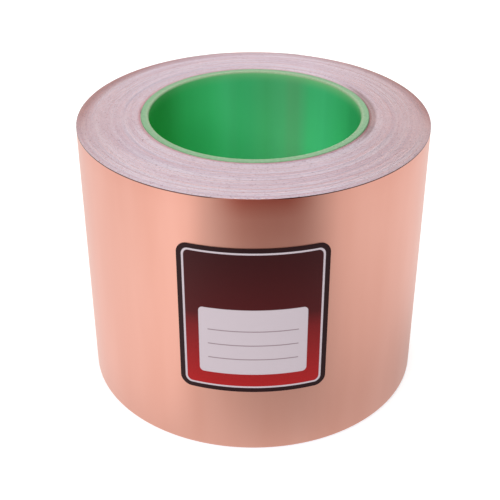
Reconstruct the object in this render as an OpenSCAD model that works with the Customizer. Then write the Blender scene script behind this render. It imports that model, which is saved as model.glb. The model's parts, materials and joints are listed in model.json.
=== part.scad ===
// A roll of copper foil tape on a plastic core.
// The roll stands on its lower rim: +Z is the axis of the roll and -Y is the labelled front.
// The origin is on the axis, at the lower end of the core.

/* [Core] */
// Inside diameter of the core, a standard 3 inch bore
core_bore_d = 76.2; // [50:0.1:110]
// Wall of the core
core_wall = 2.8; // [1.5:0.1:6]
// How far each end of the core stands out of the winding
core_proud = 1.5; // [0.3:0.1:3]
// Rounding of the rim's inner edge
rim_inner_round = 0.8; // [0.2:0.1:1.2]
// Rounding of the rim's outer edge
rim_outer_round = 0.4; // [0.1:0.1:0.6]

/* [Tape] */
// Width of the tape, which is the height of the winding
tape_w = 101.6; // [20:0.1:200]
// Thickness of the copper foil
foil_t = 0.035; // [0.02:0.005:0.08]
// Thickness of the adhesive coat
adhesive_t = 0.03; // [0.02:0.005:0.08]
// Thickness of the release liner
liner_t = 0.153; // [0.06:0.001:0.3]
// Turns that one drawn turn stands for, because foil is too thin to draw turn by turn
turns_per_layer = 4; // [3:1:8]
// Drawn turns in the winding
layers = 25; // [6:1:40]

/* [Free end] */
// How far past its last full turn the fixed part of the tape runs, in degrees
tail_root_angle = 64; // [20:1:100]
// Length of the free tail, along the roll
tail_len = 48; // [20:1:70]
// Gap between the fixed end of the tape and the root of the tail
tail_slit = 0.3; // [0.2:0.05:1]
// Gap between the roll and the tail that lies on it
tail_lift = 0.3; // [0.2:0.05:1]
// Gap between the liner and the adhesive of the tail, where they part
release_gap = 0.15; // [0.1:0.05:0.5]

/* [End tab] */
// Width of the tab, along the axis of the roll
tab_w = 19; // [8:1:20]
// Thickness of the tab
tab_t = 0.2; // [0.15:0.05:0.4]
// Length of the tab that is stuck on the tail
tab_on_tail = 14; // [6:1:18]
// Length of the tab past the end of the tail
tab_past_tail = 16; // [6:1:25]

/* [Core tack strip] */
// Thickness of the double-sided strip
tack_t = 0.15; // [0.1:0.05:0.4]
// Width of the strip, around the core
tack_w = 24; // [8:1:50]
// Distance from each end of the strip to the end of the winding
tack_inset = 1.5; // [0.5:0.5:6]

/* [Label] */
// Width of the label, around the roll
label_w = 50; // [16:1:60]
// Height of the label
label_h = 58; // [12:1:70]
// How far the label's middle stands above the middle of the tape
label_rise = 4; // [-12:0.5:12]
// Radius of the label's corners
label_corner_r = 4; // [1:0.5:6]
// Thickness of the label
label_t = 0.15; // [0.1:0.05:0.4]

/* [Hidden] */
$fn = 96;

core_r = core_bore_d / 2 + core_wall;
core_len = tape_w + 2 * core_proud;
tape_bottom = core_proud;

// Thickness of each ply as drawn, and of a whole drawn turn
liner_ply = liner_t * turns_per_layer;
adhesive_ply = adhesive_t * turns_per_layer;
foil_ply = foil_t * turns_per_layer;
pitch = liner_ply + adhesive_ply + foil_ply;

// How deep each ply lies in its turn, from the turn's inner face: liner, adhesive, foil outside
liner_depth = 0;
adhesive_depth = liner_ply;
foil_depth = liner_ply + adhesive_ply;

// The winding is a spiral of half rings. It starts at -X and turns clockwise, seen from above,
// and all angles are counted that way. Half rings on the +Y side are centred on the axis, and
// those on the -Y side half a pitch towards -X, so each half ring runs on into the next.
first_turn_r = core_r + tack_t;
last_turn_r = first_turn_r + layers * pitch;
front_centre_x = -pitch / 2;
front_r = last_turn_r + pitch / 2;

// The tail lies a small lift above the turn under it
tail_liner_r = last_turn_r + tail_lift;
tail_adhesive_r = tail_liner_r + liner_ply + release_gap;
tail_foil_r = tail_adhesive_r + adhesive_ply;
tail_outer_r = tail_foil_r + foil_ply;
tail_start = tail_root_angle + degrees_along(tail_slit, last_turn_r);
tail_end = tail_start + degrees_along(tail_len, last_turn_r);

// Angle that a length takes up along a circle
function degrees_along(length, radius) = length / radius * 180 / PI;

// Points along a quarter circle of an outline
function quarter(centre, radius, from, steps = 5) =
    [for (i = [0 : steps]) let (a = from + 90 * i / steps) centre + radius * [cos(a), sin(a)]];

// A band of the roll: part of a ring, from one angle to another
module band(inner_r, thickness, from, to, bottom = tape_bottom, height = tape_w) {
    mirror([1, 0, 0])
        rotate(from)
            rotate_extrude(angle = to - from)
                translate([inner_r, bottom])
                    square([thickness, height]);
}

// One ply of the wound tape, from its start on the core to the root of the tail
module wound_ply(depth, thickness) {
    for (turn = [0 : layers - 1]) {
        band(first_turn_r + turn * pitch + depth, thickness, 0, 180);
        translate([front_centre_x, 0, 0])
            band(first_turn_r + (turn + 0.5) * pitch + depth, thickness, 180, 360);
    }
    band(last_turn_r + depth, thickness, 0, tail_root_angle);
}

// One ply of the free tail
module tail_ply(inner_r, thickness) {
    band(inner_r, thickness, tail_start, tail_end);
}

// The green tube that the tape is wound on, with eased rims
module core_tube() {
    bore_r = core_bore_d / 2;
    inner_r = bore_r + rim_inner_round;
    outer_r = core_r - rim_outer_round;
    color("mediumseagreen")
        rotate_extrude()
            polygon(concat(
                quarter([inner_r, rim_inner_round], rim_inner_round, 180),
                quarter([outer_r, rim_outer_round], rim_outer_round, 270),
                quarter([outer_r, core_len - rim_outer_round], rim_outer_round, 0),
                quarter([inner_r, core_len - rim_inner_round], rim_inner_round, 90)));
}

// The double-sided strip that starts the first turn on the core
module core_tack_strip() {
    tack_end = degrees_along(tack_w, core_r);
    tack_h = tape_w - 2 * tack_inset;
    color("wheat")
        band(core_r, tack_t, 0, tack_end, tape_bottom + tack_inset, tack_h);
}

module liner_winding() {
    color("lavenderblush")
        wound_ply(liner_depth, liner_ply);
}

module adhesive_winding() {
    color("gainsboro")
        wound_ply(adhesive_depth, adhesive_ply);
}

module foil_winding() {
    color("peru")
        wound_ply(foil_depth, foil_ply);
}

module liner_tail() {
    color("lavenderblush")
        tail_ply(tail_liner_r, liner_ply);
}

module adhesive_tail() {
    color("gainsboro")
        tail_ply(tail_adhesive_r, adhesive_ply);
}

module foil_tail() {
    color("peru")
        tail_ply(tail_foil_r, foil_ply);
}

// The tab that holds the tail down: on the tail, over its end, and on along the roll
module end_tab() {
    tab_bottom = tape_bottom + (tape_w - tab_w) / 2;
    lap = degrees_along(tab_on_tail, last_turn_r);
    reach = degrees_along(tab_past_tail, last_turn_r);
    fold = degrees_along(tab_t, last_turn_r);
    gap = degrees_along(tail_slit, last_turn_r);
    low_r = last_turn_r + tail_lift;
    drop = tail_outer_r + tab_t - low_r;
    step = tail_end + gap;
    color("whitesmoke") {
        band(tail_outer_r, tab_t, tail_end - lap, step + fold, tab_bottom, tab_w);
        band(low_r, drop, step, step + fold, tab_bottom, tab_w);
        band(low_r, tab_t, step, step + reach, tab_bottom, tab_w);
    }
}

// The label's outline, centred, with round corners
module label_outline() {
    corner_x = label_w / 2 - label_corner_r;
    corner_y = label_h / 2 - label_corner_r;
    polygon(concat(
        quarter([corner_x, corner_y], label_corner_r, 0),
        quarter([-corner_x, corner_y], label_corner_r, 90),
        quarter([-corner_x, -corner_y], label_corner_r, 180),
        quarter([corner_x, -corner_y], label_corner_r, 270)));
}

// The plain label on the front of the roll
module label() {
    color("maroon")
        translate([front_centre_x, 0, 0])
            intersection() {
                band(front_r, label_t, 180, 360);
                translate([0, 0, tape_bottom + tape_w / 2 + label_rise])
                    rotate([90, 0, 0])
                        linear_extrude(front_r + 2 * label_t)
                            label_outline();
            }
}

core_tube();
core_tack_strip();
liner_winding();
adhesive_winding();
foil_winding();
liner_tail();
adhesive_tail();
foil_tail();
end_tab();
label();
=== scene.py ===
import json
import math

import bpy
import numpy as np
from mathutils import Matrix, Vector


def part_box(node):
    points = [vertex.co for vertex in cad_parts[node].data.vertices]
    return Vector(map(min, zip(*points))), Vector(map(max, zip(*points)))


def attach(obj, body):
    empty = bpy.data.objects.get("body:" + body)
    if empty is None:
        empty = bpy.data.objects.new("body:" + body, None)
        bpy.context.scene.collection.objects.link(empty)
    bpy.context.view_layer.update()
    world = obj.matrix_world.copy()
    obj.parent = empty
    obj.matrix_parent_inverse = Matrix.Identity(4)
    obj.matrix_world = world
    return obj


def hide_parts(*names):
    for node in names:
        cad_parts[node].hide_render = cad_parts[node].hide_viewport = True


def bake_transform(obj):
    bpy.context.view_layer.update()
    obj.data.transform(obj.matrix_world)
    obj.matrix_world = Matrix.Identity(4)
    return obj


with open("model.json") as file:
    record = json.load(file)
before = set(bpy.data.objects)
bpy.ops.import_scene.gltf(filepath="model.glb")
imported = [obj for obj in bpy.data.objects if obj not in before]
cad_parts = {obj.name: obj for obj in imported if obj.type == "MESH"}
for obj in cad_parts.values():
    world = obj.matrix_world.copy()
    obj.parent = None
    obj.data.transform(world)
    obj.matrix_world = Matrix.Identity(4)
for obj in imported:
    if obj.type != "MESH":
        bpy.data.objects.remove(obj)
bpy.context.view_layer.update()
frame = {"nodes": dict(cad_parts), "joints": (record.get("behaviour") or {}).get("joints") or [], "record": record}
mm = 0.001

# places that every piece shares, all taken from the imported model
coreLow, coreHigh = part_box("core_tube")
foilLow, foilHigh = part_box("foil_winding")
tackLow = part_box("core_tack_strip")[0]
labelLow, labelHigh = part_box("label")
tabLow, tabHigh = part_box("end_tab")
boreRadius = frame["record"]["mounts"][0]["dims"]["r_mm"] * mm
coreRadius = coreHigh.x
tapeBottom, tapeTop = foilLow.z, foilHigh.z
packRadius = (foilHigh.x - foilLow.x) / 2
packCentreX = (foilHigh.x + foilLow.x) / 2
tailJoint = next(joint for joint in frame["joints"] if joint["child"] == "tail")

# the wound tape: it starts at -X on the core and turns clockwise, seen from above
roll = {
    "turns": 100,
    "firstRadius": -tackLow.x,
    "linerShare": 0.70,       # how much of each turn's thickness a ply takes
    "adhesiveShare": 0.14,
    "pointsPerTurn": 120,
    "tailLength": 48 * mm,
}
roll["pitch"] = (packRadius - roll["firstRadius"]) / (roll["turns"] + 0.5)
rootAngle = math.atan2(tailJoint["pos_m"][1], -tailJoint["pos_m"][0])
roll["rootTurn"] = roll["turns"] + rootAngle / (2 * math.pi)
roll["tailTurns"] = roll["tailLength"] / (2 * math.pi * packRadius)
print("frame loaded, pitch", round(roll["pitch"] / mm, 4), "mm")


def toLinear(hexColour, alpha=1.0):
    # sRGB hex to the linear values that a shader takes
    parts = [int(hexColour[i:i + 2], 16) / 255 for i in (1, 3, 5)]
    linear = [c / 12.92 if c <= 0.04045 else ((c + 0.055) / 1.055) ** 2.4 for c in parts]
    return (*linear, alpha)


def addNode(tree, kind, props=None, values=None, links=None, stops=None):
    # one node: its own settings, the values typed into its sockets, what plugs into it, where a
    # node stands for its first output in use, and for a colour ramp its stops as (place, colour)
    node = tree.nodes.new(kind)
    for name, value in (props or {}).items():
        setattr(node, name, value)
    for name, value in (values or {}).items():
        node.inputs[name].default_value = value
    for name, source in (links or {}).items():
        if isinstance(source, bpy.types.Node):
            source = next(output for output in source.outputs if output.enabled)
        tree.links.new(source, node.inputs[name])
    if stops:
        elements = node.color_ramp.elements
        while len(elements) < len(stops):
            elements.new(0.5)
        for element, (place, colour) in zip(elements, stops):
            element.position = place
            element.color = colour
    return node


def grey(level):
    return (level, level, level, 1.0)


def newMaterial(name):
    material = bpy.data.materials.new(name)
    material.use_nodes = True
    tree = material.node_tree
    tree.nodes.clear()
    coords = addNode(tree, "ShaderNodeTexCoord").outputs["Object"]
    return material, tree, coords


def ringCoords(tree, coords, aroundScale):
    # (distance from the axis, cosine and sine of the angle around it), so that a pattern follows
    # the winding and no seam shows where the angle wraps round
    xyz = addNode(tree, "ShaderNodeSeparateXYZ", links={"Vector": coords})
    squares = [addNode(tree, "ShaderNodeMath", {"operation": "POWER"}, {1: 2.0}, {0: xyz.outputs[axis]})
               for axis in ("X", "Y")]
    total = addNode(tree, "ShaderNodeMath", {"operation": "ADD"}, links={0: squares[0], 1: squares[1]})
    radius = addNode(tree, "ShaderNodeMath", {"operation": "SQRT"}, links={0: total})
    around = []
    for axis in ("X", "Y"):
        share = addNode(tree, "ShaderNodeMath", {"operation": "DIVIDE"},
                        links={0: xyz.outputs[axis], 1: radius})
        around.append(addNode(tree, "ShaderNodeMath", {"operation": "MULTIPLY"},
                              {1: aroundScale}, {0: share}))
    return addNode(tree, "ShaderNodeCombineXYZ", links={"X": radius, "Y": around[0], "Z": around[1]})


def noiseAt(tree, coords, sizeMm, detail=3.0, roughness=0.5, stretch=(1, 1, 1)):
    # noise whose features are about sizeMm across, drawn out by stretch along each axis
    scaled = addNode(tree, "ShaderNodeMapping", {"vector_type": "POINT"},
                     {"Scale": tuple(1 / s for s in stretch)}, {"Vector": coords})
    return addNode(tree, "ShaderNodeTexNoise", values={
        "Scale": 1 / (sizeMm * mm), "Detail": detail, "Roughness": roughness}, links={"Vector": scaled})


def finishMaterial(tree, values, links, bumps=()):
    # the shader under its bumps, each one a pattern with its strength and its depth in mm
    links = dict(links)
    for height, strength, depthMm in bumps:
        below = {"Normal": links["Normal"]} if "Normal" in links else {}
        links["Normal"] = addNode(tree, "ShaderNodeBump", values={
            "Strength": strength, "Distance": depthMm * mm}, links={"Height": height, **below})
    shader = addNode(tree, "ShaderNodeBsdfPrincipled", values=values, links=links)
    addNode(tree, "ShaderNodeOutputMaterial", links={"Surface": shader})


# painted dark reflection along the foil's upper front edge, the dark line of its cut, and its burrs. A pair gives
# where a mark starts and where it is full.
edgeCutAndPaintedLight = {
    "middleX": 3 * mm,                  # a painted dark reflection, reddish, lies along one stretch of the front below the edge
    "fromMiddle": (18 * mm, 6 * mm),
    "belowEdge": (18 * mm, 0.8 * mm),
    "elsewhere": 0.12,                  # how much of it the rest of the front edge has
    # how strong the painted reflection is, from the bottom of its strip up to the edge
    "fade": [(0.0, 0.0), (0.3, 0.18), (0.62, 0.30), (0.81, 0.62), (1.0, 1.0)],
    "cutBelowEdge": (0.42 * mm, 0.22 * mm),     # the dark line of the cut: partly dull sheared copper, partly painted dark reflection
    "cutFromBurrs": (7 * mm, 13 * mm),
    "cutStrength": 0.95,
    # where the burrs are painted pale, as a painted glint
    "burrAboveEdge": (0.04 * mm, 0.10 * mm),
}


def copperFoil():
    # rolled copper foil: bright satin metal whose fine rolling lines run along the tape,
    # so what it mirrors is drawn out from edge to edge of the tape and hardly around the roll
    # Along its upper front edge a dark reflection is painted, and the burrs are painted pale as glints.
    material, tree, coords = newMaterial("rolledCopperFoilSatin")
    xyz = addNode(tree, "ShaderNodeSeparateXYZ", links={"Vector": coords})
    lines = noiseAt(tree, coords, 0.5, 2, 0.5, (60, 60, 1))       # real lines are 0.05 mm apart
    clouds = noiseAt(tree, coords, 12, 2, 0.5, (1, 1, 6))         # faint uneven tarnish, in upright bands
    waves = noiseAt(tree, ringCoords(tree, coords, 0.02), 9, 2, 0.5)    # slack and tight places
    tint = addNode(tree, "ShaderNodeValToRGB", links={"Fac": clouds},
                   stops=[(0.3, toLinear("#F0AF9C")), (0.7, toLinear("#F4B6A4"))])
    fromReflectionMiddle, fromBurr = [
        addNode(tree, "ShaderNodeMath", {"operation": "ABSOLUTE"}, links={0: addNode(
            tree, "ShaderNodeMath", {"operation": "SUBTRACT"}, {1: place}, {0: xyz.outputs["X"]})})
        for place in (edgeCutAndPaintedLight["middleX"], outerWrap["burrX"])]

    # painted dark reflection, reddish: near the top, near the middle of the stretch, at the front only
    height = xyz.outputs["Z"]
    atFront = addNode(tree, "ShaderNodeMath", {"operation": "LESS_THAN"}, {1: 0.0}, {0: xyz.outputs["Y"]})
    low, full = edgeCutAndPaintedLight["belowEdge"]
    nearTop = addNode(tree, "ShaderNodeMapRange", values={
        "From Min": tapeTop - low, "From Max": tapeTop - full}, links={"Value": height})
    nearTop = addNode(tree, "ShaderNodeValToRGB", links={"Fac": nearTop},
                      stops=[(place, grey(level)) for place, level in edgeCutAndPaintedLight["fade"]])
    far, full = edgeCutAndPaintedLight["fromMiddle"]
    paintedReflection = addNode(tree, "ShaderNodeMapRange", {"interpolation_type": "SMOOTHSTEP"}, {
        "From Min": far, "From Max": full, "To Min": edgeCutAndPaintedLight["elsewhere"]}, {"Value": fromReflectionMiddle})
    for mask in (nearTop, atFront):
        paintedReflection = addNode(tree, "ShaderNodeMath", {"operation": "MULTIPLY"},
                           links={0: paintedReflection, 1: mask})

    # where the edge is dark, partly from the cut and partly a painted dark reflection: all round, save near the
    # burrs and straight across from them
    low, full = edgeCutAndPaintedLight["cutBelowEdge"]
    cut = addNode(tree, "ShaderNodeMapRange", values={
        "From Min": tapeTop - low, "From Max": tapeTop - full}, links={"Value": height})
    near, clear = edgeCutAndPaintedLight["cutFromBurrs"]
    smooth = addNode(tree, "ShaderNodeMapRange", values={
        "From Min": near, "From Max": clear, "To Max": edgeCutAndPaintedLight["cutStrength"]}, links={"Value": fromBurr})
    cutAndPaintedReflection = addNode(tree, "ShaderNodeMath", {"operation": "MULTIPLY"}, links={0: cut, 1: smooth})
    low, full = edgeCutAndPaintedLight["burrAboveEdge"]
    burr = addNode(tree, "ShaderNodeMapRange", values={
        "From Min": tapeTop + low, "From Max": tapeTop + full}, links={"Value": height})

    # the colours: the painted reflection, the cut's dark line with its painted dark reflection, and the burrs'
    # pale painted glint
    colour = addNode(tree, "ShaderNodeMix", {"data_type": "RGBA", "blend_type": "MULTIPLY"},
                     {"B": toLinear("#E2B2AA")}, {"Factor": paintedReflection, "A": tint})
    for mask, shade in ((cutAndPaintedReflection, "#2E120C"), (burr, "#FFEDEA")):
        colour = addNode(tree, "ShaderNodeMix", {"data_type": "RGBA"}, {"B": toLinear(shade)},
                         {"Factor": mask, "A": colour})
    # the burrs are painted pale and matt: a painted glint, for the light their crumpled copper catches
    metallic = addNode(tree, "ShaderNodeMath", {"operation": "SUBTRACT"}, {0: 1.0}, {1: burr})
    coat = addNode(tree, "ShaderNodeMapRange", values={"To Min": 0.3, "To Max": 0.0},
                   links={"Value": cutAndPaintedReflection})                         # the film stops at the cut
    rough = addNode(tree, "ShaderNodeMapRange", values={"To Min": 0.36, "To Max": 0.40},
                    links={"Value": clouds})
    tangent = addNode(tree, "ShaderNodeTangent", {"direction_type": "UV_MAP", "uv_map": "along"})
    finishMaterial(tree, {
        "Anisotropic": 0.55, "Anisotropic Rotation": 0.25,
        "Coat Roughness": 0.35}, {                                # anti-tarnish film, pale at a slant
        "Metallic": metallic, "Coat Weight": coat, "Base Color": colour, "Roughness": rough,
        "Tangent": tangent}, [(lines, 0.10, 0.02), (waves, 0.25, 0.06)])
    return material


def slitCopperEdge():
    # the cut edges of the foil between the turns: sheared copper, dull and pinkish
    material, tree, coords = newMaterial("shearedCopperEdge")
    streaks = noiseAt(tree, ringCoords(tree, coords, 0.010), 0.9, 4, 0.6)
    tint = addNode(tree, "ShaderNodeValToRGB", links={"Fac": streaks},
                   stops=[(0.3, toLinear("#B98077")), (0.7, toLinear("#DFA79B"))])
    finishMaterial(tree, {"Metallic": 0.8, "Roughness": 0.5}, {"Base Color": tint})
    return material


def linerPaper():
    # silicone-coated release paper, seen on its slit edge: matt, pale, with rings of dust and wear, and painted
    # shade beside the core and towards the sides
    material, tree, coords = newMaterial("releasePaperSlitEdge")
    rings = ringCoords(tree, coords, 0.012)
    streaks = noiseAt(tree, rings, 0.5, 4, 0.65)      # real turns are 0.22 mm, too fine to show
    bands = noiseAt(tree, rings, 1.8, 2, 0.6, (1, 20 / 3, 20 / 3))
    specks = noiseAt(tree, coords, 0.55, 2, 0.6)
    tint = addNode(tree, "ShaderNodeValToRGB", links={"Fac": streaks},
                   stops=[(0.3, toLinear("#CFC4D0")), (0.7, toLinear("#DCD2DD"))])
    wide = addNode(tree, "ShaderNodeValToRGB", links={"Fac": bands},
                   stops=[(0.35, toLinear("#F2EAEE")), (0.65, toLinear("#FFFFFF"))])
    dust = addNode(tree, "ShaderNodeValToRGB", links={"Fac": specks},
                   stops=[(0.33, toLinear("#B79AA6")), (0.40, toLinear("#FFFFFF"))])
    for layer, weight in ((wide, 1.0), (dust, 0.7)):
        tint = addNode(tree, "ShaderNodeMix", {"data_type": "RGBA", "blend_type": "MULTIPLY"},
                       {"Factor": weight}, {"A": tint, "B": layer})

    # soiled and worn places, and places of painted shade. Each is a shade and the ranges that bound it: what a
    # range is measured on, where the mark starts and is full, how much of it lies outside, and how it fades.
    ring = addNode(tree, "ShaderNodeSeparateXYZ", links={"Vector": rings}).outputs["X"]
    xyz = addNode(tree, "ShaderNodeSeparateXYZ", links={"Vector": coords})
    aside, fromLeft = [
        addNode(tree, "ShaderNodeMath", {"operation": "ABSOLUTE"}, links={0: addNode(
            tree, "ShaderNodeMath", {"operation": "ADD"}, {1: shift}, {0: xyz.outputs["X"]})})
        for shift in (0.0, 0.15 * packRadius)]
    first = roll["firstRadius"]
    marks = [
        # handling has soiled the outermost turns, mostly at the back and the sides
        ("#D6B8B0", [(ring, packRadius - 5 * mm, packRadius - 1 * mm, 0.0, "LINEAR"),
                     (xyz.outputs["Y"], -0.45 * packRadius, 0.15 * packRadius, 0.0, "SMOOTHSTEP"),
                     (aside, 0.1 * packRadius, 0.8 * packRadius, 0.3, "LINEAR")]),
        # the first turns, next to the core, are tinged pink
        ("#E8BDBD", [(ring, first + 1.1 * mm, first + 0.3 * mm, 0.0, "LINEAR")]),
        # painted shade where the first turns have sunk at the right of the core
        ("#D9CDC8", [(ring, first + 2.9 * mm, first + 1.9 * mm, 0.0, "SMOOTHSTEP"),
                     (xyz.outputs["X"], 0.80 * coreRadius, 0.98 * coreRadius, 0.0, "SMOOTHSTEP")]),
        # painted shade: both sides of the face are darker, the right one more
        ("#EDE5E0", [(fromLeft, 0.5 * packRadius, 1.05 * packRadius, 0.0, "LINEAR")])]
    for shade, ranges in marks:
        mask = None
        for source, start, full, outside, fade in ranges:
            part = addNode(tree, "ShaderNodeMapRange", {"interpolation_type": fade}, {
                "From Min": start, "From Max": full, "To Min": outside}, {"Value": source})
            if mask is not None:
                part = addNode(tree, "ShaderNodeMath", {"operation": "MULTIPLY"}, links={0: mask, 1: part})
            mask = part
        tint = addNode(tree, "ShaderNodeMix", {"data_type": "RGBA", "blend_type": "MULTIPLY"},
                       {"B": toLinear(shade)}, {"Factor": mask, "A": tint})
    finishMaterial(tree, {"Roughness": 0.72}, {"Base Color": tint}, [(specks, 0.35, 0.08)])
    return material


# the plain materials, each one a fine noise between two shades: name, size of the noise in mm,
# its detail, its stretch along each axis, its shades, the shader's values, bump strength and depth
plainFinishes = {
    # the release paper seen flat: smooth glazed white, with faint fibres under the silicone
    "linerFace": ("releasePaperGlazedFace", 0.6, 4, (1, 1, 2), [(0.3, "#E2DDD6"), (0.7, "#EFEBE5")],
                  {"Roughness": 0.42, "IOR": 1.42}, (0.15, 0.02)),
    # the coat of acrylic adhesive: clear, tacky and slightly warm, with dust stuck in its edge
    "adhesive": ("acrylicAdhesiveCoat", 0.4, 3, (1, 1, 1), [(0.35, "#9D8288"), (0.65, "#CDB6BC")],
                 {"Roughness": 0.35, "IOR": 1.47}, None),
    # matt polypropylene tape: whitish, half see-through, with a fine frost
    "tabFilm": ("frostedFilmTape", 0.4, 3, (1, 1, 1), [(0.3, "#E4E0D6"), (0.7, "#F6F4EE")],
                {"Roughness": 0.38, "IOR": 1.49, "Alpha": 0.55}, (0.2, 0.02)),
    # thin double-sided tape: creamy tissue soaked with adhesive
    "tackStrip": ("tissueTape", 0.8, 4, (1, 1, 3), [(0.3, "#D8C9A4"), (0.7, "#EDE2C6")],
                  {"Roughness": 0.5}, (0.3, 0.04)),
}


def plainFinish(key):
    name, sizeMm, detail, stretch, shades, values, bump = plainFinishes[key]
    material, tree, coords = newMaterial(name)
    grain = noiseAt(tree, coords, sizeMm, detail, 0.6, stretch)
    tint = addNode(tree, "ShaderNodeValToRGB", links={"Fac": grain},
                   stops=[(place, toLinear(shade)) for place, shade in shades])
    finishMaterial(tree, values, {"Base Color": tint}, [(grain, *bump)] if bump else [])
    return material


def greenPlastic():
    # extruded green plastic: semi-gloss wall with faint die lines and painted light and shade, and sawn rims that
    # are pale and matt, with a painted highlight on their inner edge
    material, tree, coords = newMaterial("extrudedGreenPlastic")
    xyz = addNode(tree, "ShaderNodeSeparateXYZ", links={"Vector": coords})
    dieLines = noiseAt(tree, coords, 2.4, 2, 0.5, (1, 1, 60))
    haze = noiseAt(tree, coords, 9, 2, 0.5, (1, 1, 10))           # soft upright patches of dust
    saw = noiseAt(tree, coords, 0.7, 3, 0.6)

    # the wall: painted light and shade from side to side, dusty, and darker towards the top
    across = addNode(tree, "ShaderNodeMapRange", values={"From Min": -boreRadius, "From Max": boreRadius},
                     links={"Value": xyz.outputs["X"]})
    wall = addNode(tree, "ShaderNodeValToRGB", links={"Fac": across},
                   stops=[(place, toLinear(shade)) for place, shade in core["streaks"]])
    dusty = addNode(tree, "ShaderNodeValToRGB", links={"Fac": haze},
                    stops=[(0.35, grey(0.95)), (0.65, grey(1.0))])
    lighterDown = addNode(tree, "ShaderNodeMapRange", values={
        "From Min": tapeTop - core["lighterBelow"], "From Max": tapeTop - core["greyAbove"],
        "To Min": 1.10, "To Max": 0.89}, links={"Value": xyz.outputs["Z"]})
    for layer in (dusty, lighterDown):
        wall = addNode(tree, "ShaderNodeMix", {"data_type": "RGBA", "blend_type": "MULTIPLY"},
                       {"Factor": 1.0}, {"A": wall, "B": layer})

    # the sawn rim: pale, and lightest along its inner edge, a painted highlight where the rounded edge catches the
    # light
    rim = addNode(tree, "ShaderNodeValToRGB", links={"Fac": saw},
                  stops=[(0.3, toLinear("#8AAB88")), (0.7, toLinear("#9DBB99"))])
    fromAxis = addNode(tree, "ShaderNodeSeparateXYZ", links={"Vector": ringCoords(tree, coords, 0.01)})
    intoWall = addNode(tree, "ShaderNodeMapRange", values={
        "From Min": boreRadius, "From Max": coreRadius}, links={"Value": fromAxis.outputs["X"]})
    paleAndHighlight = addNode(tree, "ShaderNodeValToRGB", links={"Fac": intoWall}, stops=[
        (0.15, toLinear("#FCFBF4")), (0.45, toLinear("#DDF0E2")), (1.0, toLinear("#CDEEDD"))])
    rim = addNode(tree, "ShaderNodeMix", {"data_type": "RGBA", "blend_type": "MULTIPLY"},
                  {"Factor": 1.0}, {"A": rim, "B": paleAndHighlight})

    # light bleeds through the sawn end into the wall, mostly at the right, as (near the end)^2
    end = (coreHigh.z - coreLow.z) / 2
    fromMiddle = addNode(tree, "ShaderNodeMath", {"operation": "SUBTRACT"}, {1: coreLow.z + end},
                         {0: xyz.outputs["Z"]})
    reach = addNode(tree, "ShaderNodeMath", {"operation": "ABSOLUTE"}, links={0: fromMiddle})
    far, full = core["glowFromEnd"]
    glow = addNode(tree, "ShaderNodeMapRange", values={
        "From Min": end - far, "From Max": end - full}, links={"Value": reach})
    glow = addNode(tree, "ShaderNodeMath", {"operation": "POWER"}, {1: 2.0}, {0: glow})
    sunny = addNode(tree, "ShaderNodeMapRange", values={
        "From Min": -boreRadius, "From Max": 0.6 * boreRadius, "To Min": 0.35},
        links={"Value": xyz.outputs["X"]})
    glow = addNode(tree, "ShaderNodeMath", {"operation": "MULTIPLY"}, links={0: glow, 1: sunny})
    wall = addNode(tree, "ShaderNodeMix", {"data_type": "RGBA"}, {"B": toLinear("#86C790")},
                   {"Factor": glow, "A": wall})

    far, full = core["sawnFromEnd"]
    onRim = addNode(tree, "ShaderNodeMapRange", values={
        "From Min": end - far, "From Max": end - full}, links={"Value": reach})
    colour = addNode(tree, "ShaderNodeMix", {"data_type": "RGBA"},
                     links={"Factor": onRim, "A": wall, "B": rim})
    rough = addNode(tree, "ShaderNodeMapRange", values={"To Min": 0.30, "To Max": 0.55},
                    links={"Value": onRim})
    finishMaterial(tree, {"IOR": 1.50}, {"Base Color": colour, "Roughness": rough},
                   [(dieLines, 0.18, 0.05), (saw, 0.15, 0.03)])
    return material


def roundedBox(tree, uv, centre, size, corner, soft):
    # 1 inside a rounded rectangle and 0 outside: the distance past the corners' centres, made a step
    squares = []
    for axis, middle, whole in zip(("X", "Y"), centre, size):
        shifted = addNode(tree, "ShaderNodeMath", {"operation": "SUBTRACT"},
                          {1: middle}, {0: uv.outputs[axis]})
        folded = addNode(tree, "ShaderNodeMath", {"operation": "ABSOLUTE"}, links={0: shifted})
        past = addNode(tree, "ShaderNodeMath", {"operation": "SUBTRACT"},
                       {1: whole / 2 - corner}, {0: folded})
        kept = addNode(tree, "ShaderNodeMath", {"operation": "MAXIMUM"}, {1: 0.0}, {0: past})
        squares.append(addNode(tree, "ShaderNodeMath", {"operation": "POWER"}, {1: 2.0}, {0: kept}))
    total = addNode(tree, "ShaderNodeMath", {"operation": "ADD"}, links={0: squares[0], 1: squares[1]})
    away = addNode(tree, "ShaderNodeMath", {"operation": "SQRT"}, links={0: total})
    return addNode(tree, "ShaderNodeMapRange", values={
        "From Min": corner + soft, "From Max": corner - soft}, links={"Value": away})


labelPrint = {
    "field": [(0.0, "#AA080F"), (0.45, "#74080E"), (0.55, "#4C050A"), (1.0, "#340308")],    # foot to top
    "paper": "#BFB5BE",
    "border": "#25050A",
    "ruledLine": "#8E7F86",
    "soft": 0.0018,             # softness of a printed edge; all sizes are shares of the label's own
    # centre, size, corner and what is printed there, one over the other
    "boxes": [((0.5, 0.5), (2.0, 2.0), 0.045, "border"), ((0.5, 0.5), (0.93, 0.94), 0.045, "paper"),
              ((0.5, 0.5), (0.902, 0.917), 0.036, "field"), ((0.5, 0.36), (0.72, 0.46), 0.03, "paper")],
    "ruledHeights": (0.24, 0.34, 0.44),
}


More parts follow.
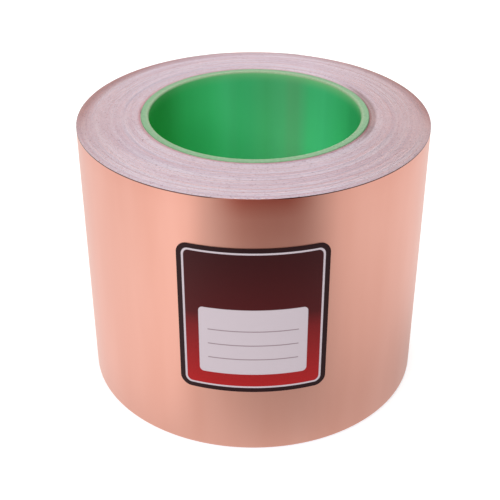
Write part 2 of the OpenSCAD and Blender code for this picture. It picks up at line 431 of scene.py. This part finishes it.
def labelPaper():
    # coated label paper, printed maroon, with an off-white panel and plain ruled lines to write on
    material, tree, coords = newMaterial("printedLabelPaper")
    flat = addNode(tree, "ShaderNodeUVMap", {"uv_map": "flat"})
    uv = addNode(tree, "ShaderNodeSeparateXYZ", links={"Vector": flat})
    ink = noiseAt(tree, coords, 0.35, 3, 0.6)
    field = addNode(tree, "ShaderNodeValToRGB", links={"Fac": uv.outputs["Y"]},
                    stops=[(place, toLinear(shade)) for place, shade in labelPrint["field"]])
    mottled = addNode(tree, "ShaderNodeValToRGB", links={"Fac": ink},
                      stops=[(0.3, grey(0.86)), (0.7, grey(1.0))])
    field = addNode(tree, "ShaderNodeMix", {"data_type": "RGBA", "blend_type": "MULTIPLY"},
                    {"Factor": 1.0}, {"A": field, "B": mottled})
    ruled = [((0.5, height), (0.60, 0.007), 0.002, "ruledLine") for height in labelPrint["ruledHeights"]]
    colour = field
    for centre, size, corner, printed in labelPrint["boxes"] + ruled:
        links = {"Factor": roundedBox(tree, uv, centre, size, corner, labelPrint["soft"]), "A": colour}
        if printed == "field":
            colour = addNode(tree, "ShaderNodeMix", {"data_type": "RGBA"}, links={**links, "B": field})
        else:
            colour = addNode(tree, "ShaderNodeMix", {"data_type": "RGBA"},
                             {"B": toLinear(labelPrint[printed])}, links)
    finishMaterial(tree, {"Roughness": 0.5, "Specular IOR Level": 0.22}, {"Base Color": colour},
                   [(ink, 0.12, 0.03)])
    return material


def smoothNoise(places, spacing, seed):
    # random values at even knots, joined by smooth steps
    knots = np.random.default_rng(seed).uniform(-1, 1, int(np.max(places) / spacing) + 3)
    scaled = places / spacing
    low = np.floor(scaled).astype(int)
    share = scaled - low
    share = share * share * (3 - 2 * share)
    return knots[low] * (1 - share) + knots[low + 1] * share


def makePiece(name, points, body, material, closedRows=False, uv=None, uvName="along"):
    # points is rows by columns: each row is one closed outline, and the rows follow the path.
    # An outline goes along the outer side and back along the inner side, so an open path's two
    # ends close with a strip of quads between those sides.
    rows, columns = points.shape[:2]
    index = np.arange(rows * columns).reshape(rows, columns)
    loops = np.vstack([index, index[:1]]) if closedRows else index
    loops = np.hstack([loops, loops[:, :1]])
    quads = np.stack([loops[:-1, :-1], loops[1:, :-1], loops[1:, 1:], loops[:-1, 1:]], axis=-1)
    quads = quads.reshape(-1, 4)
    if not closedRows:
        side = np.arange(columns // 2 - 1)
        strip = np.stack([side, side + 1, columns - 2 - side, columns - 1 - side], axis=-1)
        quads = np.vstack([quads, index[0][strip], index[-1][strip[:, ::-1]]])
    flat = points.reshape(-1, 3)
    a, b, c, d = (flat[quads[:, i]] for i in range(4))
    # signed volume of the closed surface; negative means that it is inside out
    volume = np.einsum("ij,ij->i", a, np.cross(b, c) + np.cross(c, d)).sum()
    if volume < 0:
        quads = quads[:, ::-1]
    mesh = bpy.data.meshes.new(name)
    mesh.from_pydata(flat, [], quads)
    mesh.polygons.foreach_set("use_smooth", np.ones(len(quads), bool))
    mesh.set_sharp_from_angle(angle=math.radians(40))
    if uv is not None:
        layer = mesh.uv_layers.new(name=uvName)
        layer.data.foreach_set("uv", uv.reshape(-1, 2)[quads.reshape(-1)].reshape(-1))
    mesh.materials.append(material)
    piece = bpy.data.objects.new(name, mesh)
    bpy.context.scene.collection.objects.link(piece)
    if body:
        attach(piece, body)
    print(name, len(quads) * 2, "triangles")
    return piece


def spiralPoint(turn, lift):
    # a point of the winding: the radius grows by one pitch a turn, and the circle's centre drifts
    # from the axis to the middle of the finished pack; turns are counted clockwise from -X
    angle = 2 * np.pi * turn
    radius = roll["firstRadius"] + roll["pitch"] * turn + lift
    centre = packCentreX * np.minimum(turn / roll["turns"], 1)
    return centre - radius * np.cos(angle), radius * np.sin(angle)


# how the slit edges of the plies lie in the end faces
endFace = {
    "coneRise": 1.25 * mm,         # the roll has telescoped: its inner turns stand this much higher
    "slumpDepth": 0.6 * mm,        # to the right, the first turns have sunk beside the core
    "slumpWidth": 2.4 * mm,
    "slumpAngle": math.radians(34),
    "ringWobble": 0.035 * mm,      # slow rise and fall over some turns
    "ringTurns": 6.0,
    "turnWobble": 0.035 * mm,      # each turn a little higher or lower
    "wobbleTurns": 0.31,
    "tackTurns": 0.12,             # where the first turn has come down off the tack strip on to the core
    "tackStep": 0.12 * mm,         # how much of the strip's thickness the first turn takes up
    "foilDrop": 0.03 * mm,
    "adhesiveDrop": 0.10 * mm,
}


def turnRise(turn):
    # how much higher a turn stands than the outermost one, at its lower and at its upper edge: a
    # straight cone, and at the upper edge less a slump that is deepest at +X against the core and
    # dies away as exp(-(angle/slumpAngle)^2 - (depth/slumpWidth)^4)
    cone = endFace["coneRise"] * (1 - np.minimum(turn / roll["turns"], 1))
    fromRight = np.abs(np.mod(turn, 1) - 0.5) * 2 * np.pi
    depth = turn * roll["pitch"]
    slump = np.exp(-(fromRight / endFace["slumpAngle"]) ** 2 - (depth / endFace["slumpWidth"]) ** 4)
    return cone, cone - endFace["slumpDepth"] * slump


def edgeNoise(turn, seed):
    # how unevenly an edge lies, along the spiral
    slow = smoothNoise(turn, endFace["ringTurns"], 11) * endFace["ringWobble"]
    fast = smoothNoise(turn, endFace["wobbleTurns"], seed) * endFace["turnWobble"]
    return slow + fast


def wrapUv(turn, heights):
    # flat coordinates along the tape, in units of 100 mm
    along = np.broadcast_to((turn * 2 * np.pi * packRadius)[:, None], heights.shape)
    return np.stack([along, heights], axis=-1) * 10


def webBand(turn, inner, outer, bottom, top, rows=2, bulge=None):
    # a stretch of one ply: its outline climbs the outer side in rows points and comes down the
    # inner side in as many. bulge moves the outer side in or out, and the inner side only in.
    share = np.linspace(0, 1, rows)
    heights = bottom[:, None] + (top - bottom)[:, None] * share
    lift = np.zeros_like(heights) if bulge is None else bulge(turn[:, None], share[None, :])
    outX, outY = spiralPoint(turn[:, None], outer + lift)
    inX, inY = spiralPoint(turn[:, None], inner + np.minimum(lift, 0))
    inX, inY = np.broadcast_to(inX, heights.shape), np.broadcast_to(inY, heights.shape)
    outX, outY = np.broadcast_to(outX, heights.shape), np.broadcast_to(outY, heights.shape)
    outer3 = np.stack([outX, outY, heights], axis=-1)
    inner3 = np.stack([inX, inY, heights], axis=-1)[:, ::-1]
    uv = wrapUv(turn, heights)
    return np.concatenate([outer3, inner3], axis=1), np.concatenate([uv, uv[:, ::-1]], axis=1)


linerEdge = roll["linerShare"] * roll["pitch"]
adhesiveEdge = linerEdge + roll["adhesiveShare"] * roll["pitch"]


def makeWoundPly(name, inner, outer, drop, seed, lastTurn, node, material):
    # a whole ply as one spiral ribbon, from the core outwards
    turn = np.linspace(0, lastTurn, int(lastTurn * roll["pointsPerTurn"]) + 1)
    below, above = turnRise(turn)
    top = tapeTop + above - drop + edgeNoise(turn, seed)
    bottom = tapeBottom + below + drop - edgeNoise(turn, seed + 1)
    depth = np.full_like(turn, inner)
    if node == "liner_winding":
        onCore = (turn >= endFace["tackTurns"]) & (turn < 1)
        depth[onCore] -= roll["pitch"] * turn[onCore] + endFace["tackStep"]
    points, uv = webBand(turn, depth[:, None], outer, bottom, top)
    piece = makePiece(name, points, "roll", material, uv=uv)
    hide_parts(node)
    return piece


outerWrap = {
    "pointsAround": 720,
    "rowsUp": 48,
    "slack": 0.010 * mm,       # soft waves left where the foil isn't pulled quite flat
    "edgeRoll": 0.030 * mm,    # the slit edges are burnished slightly inwards
    "burrHeight": 0.60 * mm,
    "burrX": -2.2 * mm,        # where along the front the burrs stand
    "burrReach": 6 * mm,
    "burrSpacing": 0.0012,     # this and the lengths below are in turns
    "waveLength": 0.045,
    "rippleLength": 0.017,
    "rippleLean": 0.12,        # how far a ripple drifts along the roll on its way up
    "edgeWander": 0.02 * mm,
    "edgeLength": 0.02,
}


def foilBulge(turn, share):
    # waves that run up the roll and die away at its edges, which are rolled inwards. Neither goes
    # deeper than the foil is thick, or the adhesive below would show.
    around = turn - roll["rootTurn"] + 1.5
    waves = smoothNoise(around + 0 * share, outerWrap["waveLength"], 31)
    leaning = around + outerWrap["rippleLean"] * share
    waves = waves + 0.6 * smoothNoise(leaning, outerWrap["rippleLength"], 32)
    nearEdge = np.abs(2 * share - 1) ** 6
    return outerWrap["slack"] * waves * (1 - nearEdge) - outerWrap["edgeRoll"] * nearEdge ** 8


def makeFoilBand(name, fromTurn, toTurn, pointCount, body):
    turn = np.linspace(fromTurn, toTurn, pointCount)
    # the shear has left small burrs standing, mostly on one stretch near the front
    x, y = spiralPoint(turn, 0)
    burred = np.exp(-((x - outerWrap["burrX"]) / outerWrap["burrReach"]) ** 2) * (y < 0)
    around = turn - roll["turns"] + 2
    torn = np.maximum(smoothNoise(around, outerWrap["burrSpacing"], 42), 0)
    burr = torn * outerWrap["burrHeight"] * burred
    top = tapeTop + outerWrap["edgeWander"] * smoothNoise(around, outerWrap["edgeLength"], 41) + burr
    bottom = np.full(pointCount, tapeBottom)
    points, uv = webBand(turn, adhesiveEdge, roll["pitch"], bottom, top, outerWrap["rowsUp"], foilBulge)
    return makePiece(name, points, body, foilMaterial, uv=uv)


def makeWinding():
    lastTurn = roll["rootTurn"]
    makeWoundPly("linerTurns", 0, linerEdge, 0, 21, lastTurn,
                 "liner_winding", linerMaterial)
    makeWoundPly("adhesiveTurns", linerEdge, adhesiveEdge, endFace["adhesiveDrop"], 23, lastTurn,
                 "adhesive_winding", adhesiveMaterial)
    makeWoundPly("foilTurns", adhesiveEdge, roll["pitch"], endFace["foilDrop"], 25, lastTurn - 1,
                 "foil_winding", slitMaterial)
    wrap = makeFoilBand("foilOuterTurn", lastTurn - 1, lastTurn, outerWrap["pointsAround"], "roll")
    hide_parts("foil_winding")


tail = {
    "pointsAlong": 140,
    "bendLength": 20 * mm,      # a length at the root of the tail
    "linerGap": 0.01 * mm,
    "adhesiveInset": 0.05 * mm,     # the adhesive stops short of the foil's edges
    "topInset": 0.05 * mm,
    "rowsUp": 24,
}


def bendAtRoot(piece):
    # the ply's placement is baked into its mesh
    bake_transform(piece)


def makeTail():
    firstTurn, lastTurn = roll["rootTurn"], roll["rootTurn"] + roll["tailTurns"]
    foil = makeFoilBand("foilTailEnd", firstTurn, lastTurn, tail["pointsAlong"], None)
    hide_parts("foil_tail")
    bendAtRoot(foil)
    plies = [("adhesiveTailEnd", linerEdge, adhesiveEdge, tail["adhesiveInset"],
              "adhesive_tail", "adhesive", adhesiveMaterial, "tail"),
             ("linerTailEnd", 0, linerEdge - tail["linerGap"], 0,
              "liner_tail", "liner_paper", linerFaceMaterial, "liner_end")]
    for name, inner, outer, drop, node, slot, material, body in plies:
        turn = np.linspace(firstTurn, lastTurn, tail["pointsAlong"])
        level = np.ones_like(turn)
        points, uv = webBand(turn, inner, outer, (tapeBottom + drop) * level,
                             (tapeTop - tail["topInset"] - drop) * level, tail["rowsUp"])
        piece = makePiece(name, points, None, material, uv=uv)
        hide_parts(node)
        bendAtRoot(piece)


tab = {
    "onTail": 14 * mm,
    "pastTail": 16 * mm,
    "thickness": 0.06 * mm,
    "clearance": 0.03 * mm,
    "fold": 1.6 * mm,           # how gently it comes down off the end of the tail
    "pointsAlong": 90,
    "rowsUp": 20,
}


def makeEndTab():
    # a strip that follows the tail's face and then sinks by the tape's thickness on to the roll
    lastTurn = roll["rootTurn"] + roll["tailTurns"]
    perTurn = 2 * math.pi * packRadius
    turn = np.linspace(lastTurn - tab["onTail"] / perTurn, lastTurn + tab["pastTail"] / perTurn,
                       tab["pointsAlong"])
    past = (turn - lastTurn) * perTurn / tab["fold"]
    sink = np.clip(past, 0, 1)
    sink = sink * sink * (3 - 2 * sink)
    onTail = roll["pitch"] + tab["clearance"]
    inner = onTail - roll["pitch"] * sink
    level = np.ones_like(turn)
    points, uv = webBand(turn, inner[:, None], inner[:, None] + tab["thickness"],
                         tabLow.z * level, tabHigh.z * level, tab["rowsUp"])
    piece = makePiece("endTabFilm", points, "tail", filmMaterial, uv=uv)
    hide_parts("end_tab")


label = {
    "corner": 4 * mm,
    "thickness": 0.12 * mm,
    "columns": 60,
    "rows": 90,
    "clearance": 0.03 * mm,
    "liftedEdge": 0.06 * mm,    # the edge stands off a little, as paper does on foil
    "liftReach": 1.2 * mm,
}


def makeLabel():
    # rows climb the label. Each row is as wide as the rounded outline there: at a height h inside a
    # corner of radius c the side steps in by c - sqrt(c^2 - h^2). Across, it follows the last turn.
    halfHeight = (labelHigh.z - labelLow.z) / 2
    middle = (labelHigh.z + labelLow.z) / 2
    halfWidth = packRadius * math.asin((labelHigh.x - packCentreX) / packRadius)
    corner = label["corner"]
    # heights crowd towards both ends, so that the corners come out round
    heights = halfHeight * np.sin(np.linspace(-np.pi / 2, np.pi / 2, label["rows"]))
    into = np.maximum(np.abs(heights) - (halfHeight - corner), 0)
    halfRow = halfWidth - corner + np.sqrt(np.maximum(corner ** 2 - into ** 2, 0))
    across = halfRow[:, None] * np.linspace(-1, 1, label["columns"])
    up = np.broadcast_to(heights[:, None], across.shape)
    toEdge = np.minimum(halfWidth - np.abs(across), halfHeight - np.abs(up))
    lift = roll["pitch"] + label["clearance"] + label["liftedEdge"] * np.exp(-toEdge / label["liftReach"])
    turn = roll["turns"] - 0.25 - across / (2 * np.pi * packRadius)
    sides = []
    for depth in (label["thickness"], 0.0):
        x, y = spiralPoint(turn, lift + depth)
        sides.append(np.stack([x, y, middle + up], axis=-1))
    points = np.concatenate([sides[0], sides[1][:, ::-1]], axis=1)
    flat = np.stack([across / (2 * halfWidth) + 0.5, up / (2 * halfHeight) + 0.5], axis=-1)
    uv = np.concatenate([flat, flat[:, ::-1]], axis=1)
    piece = makePiece("labelSheet", points, "roll", labelMaterial, uv=uv, uvName="flat")
    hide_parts("label")


core = {
    # colour of the wall from -X to +X: painted light and shade, darkest at -X where the wall lies in shade, with
    # soft upright streaks of painted reflection
    "streaks": [(0.00, "#229E39"), (0.03, "#26A541"), (0.07, "#31B255"), (0.10, "#3CC067"),
                (0.15, "#44CD78"), (0.20, "#49D180"), (0.28, "#4DD588"), (0.35, "#54D590"),
                (0.39, "#50CB88"), (0.42, "#4AC582"), (0.47, "#4CC483"), (0.52, "#52C283"),
                (0.56, "#52BC7E"), (0.61, "#57BE84"), (0.65, "#5ABD84"), (0.68, "#62B782"),
                (0.72, "#60B882"), (0.75, "#59C086"), (0.78, "#4EC988"), (0.85, "#4FCD8D"),
                (0.90, "#48C884"), (0.95, "#40C27A"), (0.98, "#34B36C"), (1.00, "#2EAD62")],
    "innerRound": 0.8 * mm,
    "outerRound": 0.4 * mm,
    "pointsAround": 288,
    "wallRows": 40,
    "roundSteps": 8,
    "wallWave": 0.02 * mm,      # an extruded wall is never quite true
    "sawFlare": 0.11 * mm,      # the cut has spread the ends a little
    "flareReach": 1.2 * mm,
    # finishes, as distances down from the tape's edge and then from the core's ends
    "lighterBelow": 35 * mm,
    "greyAbove": 5 * mm,
    "glowFromEnd": (5 * mm, 0.5 * mm),
    "sawnFromEnd": (0.9 * mm, 0.3 * mm),
}


def makeCore():
    # the outline goes up the outer wall, which flares at the saw cuts, over the rim, down the bore
    # and back under, with a quarter circle at each corner: centre + radius * (cos, sin). It is then
    # turned about the axis, and three and seven soft lobes around it draw the outer wall in.
    def corner(r, z, radius, fromAngle):
        angle = np.radians(fromAngle + np.linspace(0, 90, core["roundSteps"]))
        return np.stack([r + radius * np.cos(angle), z + radius * np.sin(angle)], axis=-1)

    low, high = coreLow.z, coreHigh.z
    inner, outer = core["innerRound"], core["outerRound"]
    wall = np.linspace(low + outer, high - outer, core["wallRows"])[1:-1]
    wall = np.sort(np.concatenate([wall, low + core["flareReach"] * np.array([0.5, 0.75, 1]),
                                   high - core["flareReach"] * np.array([0.5, 0.75, 1])]))
    toEnd = np.minimum(wall - low, high - wall)
    spread = core["sawFlare"] * np.clip(2 * (1 - toEnd / core["flareReach"]), 0, 1)
    outerWall = np.stack([coreRadius + spread, wall], axis=-1)
    innerWall = np.stack([np.full_like(wall, boreRadius), wall[::-1]], axis=-1)
    inside = (innerWall[:, 1] < high - inner) & (innerWall[:, 1] > low + inner)
    rimRadius = coreRadius + core["sawFlare"]
    profile = np.concatenate([
        outerWall, corner(rimRadius - outer, high - outer, outer, 0),
        corner(boreRadius + inner, high - inner, inner, 90),
        innerWall[inside], corner(boreRadius + inner, low + inner, inner, 180),
        corner(rimRadius - outer, low + outer, outer, 270)])
    angle = np.linspace(0, 2 * np.pi, core["pointsAround"], endpoint=False)[:, None]
    wave = core["wallWave"] * (np.sin(3 * angle + 0.4) + 0.6 * np.sin(7 * angle + 1.9)) / 1.6
    radius = profile[:, 0] - np.abs(wave) * (profile[:, 0] > boreRadius + inner)
    heights = np.broadcast_to(profile[:, 1], radius.shape)
    points = np.stack([radius * np.cos(angle), radius * np.sin(angle), heights], axis=-1)
    piece = makePiece("coreTube", points, "roll", greenMaterial, closedRows=True)
    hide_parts("core_tube")


camera = {
    "lensMm": 73.8,
    "distance": 372.7 * mm,                 # to the middle of the winding's upper face
    "above": math.radians(24.00),           # how high it stands, seen from there
    "tilt": math.radians(31.50),            # how far it looks down
    "turn": math.radians(0.22),
}


def makeCamera():
    data = bpy.data.cameras.new("camera")
    data.lens = camera["lensMm"]
    data.sensor_width = 36
    data.clip_start = 0.01
    view = bpy.data.objects.new("camera", data)
    view.location = (packCentreX, -camera["distance"] * math.cos(camera["above"]),
                     tapeTop + camera["distance"] * math.sin(camera["above"]))
    view.rotation_euler = (math.pi / 2 - camera["tilt"], 0, camera["turn"])
    bpy.context.scene.collection.objects.link(view)
    bpy.context.scene.camera = view


studio = {
    "worldLevel": 0.30,
    "floorSize": 6.0,
    "floorColour": "#C8C8C8",
    "floorGlow": 0.62,
    "aim": (0, 0, 0.05),        # what every light points at
    # name, place, size, watts, colour
    "boxes": [("keyFrontLeft", (-0.72, -1.09, 1.06), 0.96, 17.7, "#FFF9F4"),
              ("fillRight", (0.80, -0.10, 0.55), 0.60, 1.6, "#FFF6F4"),
              ("overheadBack", (0.05, 0.60, 0.90), 0.80, 6.0, "#FFFFFF")],
}

# what polished metal sees around the roll: a dark gap ahead, where whoever looks at the roll
# stands in the light, and bright paper elsewhere. Only reflections see it.
surround = {
    "innerRadius": 0.0636,
    "outerRadius": 2.6,
    "height": 0.3 * mm,
    # degrees round from the front, positive to the right; then the brightness there, a row for
    # each distance from the axis
    "angles": [-180, -75, -36, -25, 0, 20, 32, 48, 85, 110, 180],
    "radii": [0.066, 0.085, 0.13, 0.24, 0.50],
    "levels": [[0.95, 0.97, 0.84, 0.77, 0.71, 0.69, 0.67, 0.65, 0.62, 0.66, 0.80],
               [1.00, 1.04, 0.94, 0.74, 0.56, 0.53, 0.57, 0.61, 0.66, 0.80, 0.90],
               [1.00, 1.04, 1.08, 0.62, 0.46, 0.45, 0.50, 0.74, 0.85, 0.96, 1.00],
               [1.00, 1.02, 1.12, 0.46, 0.32, 0.31, 0.35, 0.94, 0.93, 0.98, 1.00],
               [1.00, 1.00, 1.10, 0.35, 0.17, 0.16, 0.23, 0.96, 0.93, 0.98, 1.00]],
    "shadeColour": "#FFA890",  # the darkest part is warm
    "shadeLevel": 0.42,
    "angleSteps": 181,
    "radiusSteps": 60,
}


def aimAt(thing, target):
    way = [t - p for t, p in zip(target, thing.location)]
    thing.rotation_euler = (math.atan2(math.hypot(way[0], way[1]), -way[2]), 0,
                            math.atan2(-way[0], way[1]))


def makeFloor():
    half = studio["floorSize"] / 2
    mesh = bpy.data.meshes.new("floor")
    mesh.from_pydata([(-half, -half, 0), (half, -half, 0), (half, half, 0), (-half, half, 0)],
                     [], [(0, 1, 2, 3)])
    material, tree, _ = newMaterial("paleFloor")
    finishMaterial(tree, {
        "Base Color": toLinear(studio["floorColour"]), "Roughness": 0.9, "Specular IOR Level": 0.1,
        "Emission Color": grey(1.0), "Emission Strength": studio["floorGlow"]}, {})
    mesh.materials.append(material)
    floor = bpy.data.objects.new("floor", mesh)
    bpy.context.scene.collection.objects.link(floor)


def makeSurround():
    # a flat ring: radii grow evenly in proportion, and each point's brightness lies between the
    # values of the nearest rows, by the logarithm of its radius
    angle = np.linspace(-180, 180, surround["angleSteps"])[:, None]
    radius = np.geomspace(surround["innerRadius"], surround["outerRadius"], surround["radiusSteps"])
    turned = np.radians(angle)
    points = np.stack([packCentreX + radius * np.sin(turned), -radius * np.cos(turned),
                       np.full((angle.size, radius.size), surround["height"])], axis=-1)
    rows = [np.interp(angle, surround["angles"], levels) for levels in surround["levels"]]
    place = np.interp(np.log(radius), np.log(surround["radii"]), np.arange(len(rows)))
    level = sum(row * np.clip(1 - np.abs(place - i), 0, 1) for i, row in enumerate(rows))
    warm = np.array(toLinear(surround["shadeColour"])[:3])
    white = np.clip((level / surround["shadeLevel"])[..., None], 0, 1) ** 2
    glow = level[..., None] * (white + (1 - white) * warm)
    glow = np.concatenate([glow, np.ones_like(level)[..., None]], axis=-1)
    index = np.arange(level.size).reshape(level.shape)
    quads = np.stack([index[:-1, :-1], index[:-1, 1:], index[1:, 1:], index[1:, :-1]], axis=-1)
    mesh = bpy.data.meshes.new("surround")
    mesh.from_pydata(points.reshape(-1, 3), [], quads.reshape(-1, 4))
    layer = mesh.color_attributes.new("glow", "FLOAT_COLOR", "POINT")
    layer.data.foreach_set("color", glow.reshape(-1))
    material, tree, _ = newMaterial("surroundGlow")
    brightness = addNode(tree, "ShaderNodeAttribute", {"attribute_name": "glow"})
    emission = addNode(tree, "ShaderNodeEmission", links={"Color": brightness})
    addNode(tree, "ShaderNodeOutputMaterial", links={"Surface": emission})
    mesh.materials.append(material)
    ring = bpy.data.objects.new("surround", mesh)
    bpy.context.scene.collection.objects.link(ring)
    ring.visible_camera = False
    ring.visible_diffuse = False
    ring.visible_transmission = False
    ring.visible_shadow = False


def makeLights():
    for name, place, size, watts, colour in studio["boxes"]:
        data = bpy.data.lights.new(name, "AREA")
        data.shape = "SQUARE"
        data.size = size
        data.energy = watts
        data.color = toLinear(colour)[:3]
        box = bpy.data.objects.new(name, data)
        box.location = place
        aimAt(box, studio["aim"])
        bpy.context.scene.collection.objects.link(box)


def makeWorld():
    # dim, even light from all round, and a white backdrop where nothing else is seen
    world = bpy.data.worlds.new("studioWorld")
    world.use_nodes = True
    tree = world.node_tree
    tree.nodes.clear()
    seen = addNode(tree, "ShaderNodeLightPath").outputs["Is Camera Ray"]
    level = addNode(tree, "ShaderNodeMapRange", values={"To Min": studio["worldLevel"], "To Max": 1.0},
                    links={"Value": seen})
    sky = addNode(tree, "ShaderNodeBackground", values={"Color": grey(1.0)}, links={"Strength": level})
    addNode(tree, "ShaderNodeOutputWorld", links={"Surface": sky})
    bpy.context.scene.world = world


def makeStudio():
    makeFloor()
    makeSurround()
    makeLights()
    makeWorld()
    bpy.context.scene.view_settings.view_transform = "Standard"


makeCamera()
makeStudio()
print("camera and studio ready")

foilMaterial = copperFoil()
slitMaterial = slitCopperEdge()
linerMaterial = linerPaper()
linerFaceMaterial = plainFinish("linerFace")
adhesiveMaterial = plainFinish("adhesive")
greenMaterial = greenPlastic()
labelMaterial = labelPaper()
filmMaterial = plainFinish("tabFilm")
print("materials ready")

tackNode = frame["nodes"]["core_tack_strip"]
tackNode.data.materials.clear()
tackNode.data.materials.append(plainFinish("tackStrip"))
makeCore()
makeWinding()
makeTail()
makeEndTab()
makeLabel()
print("pieces ready")
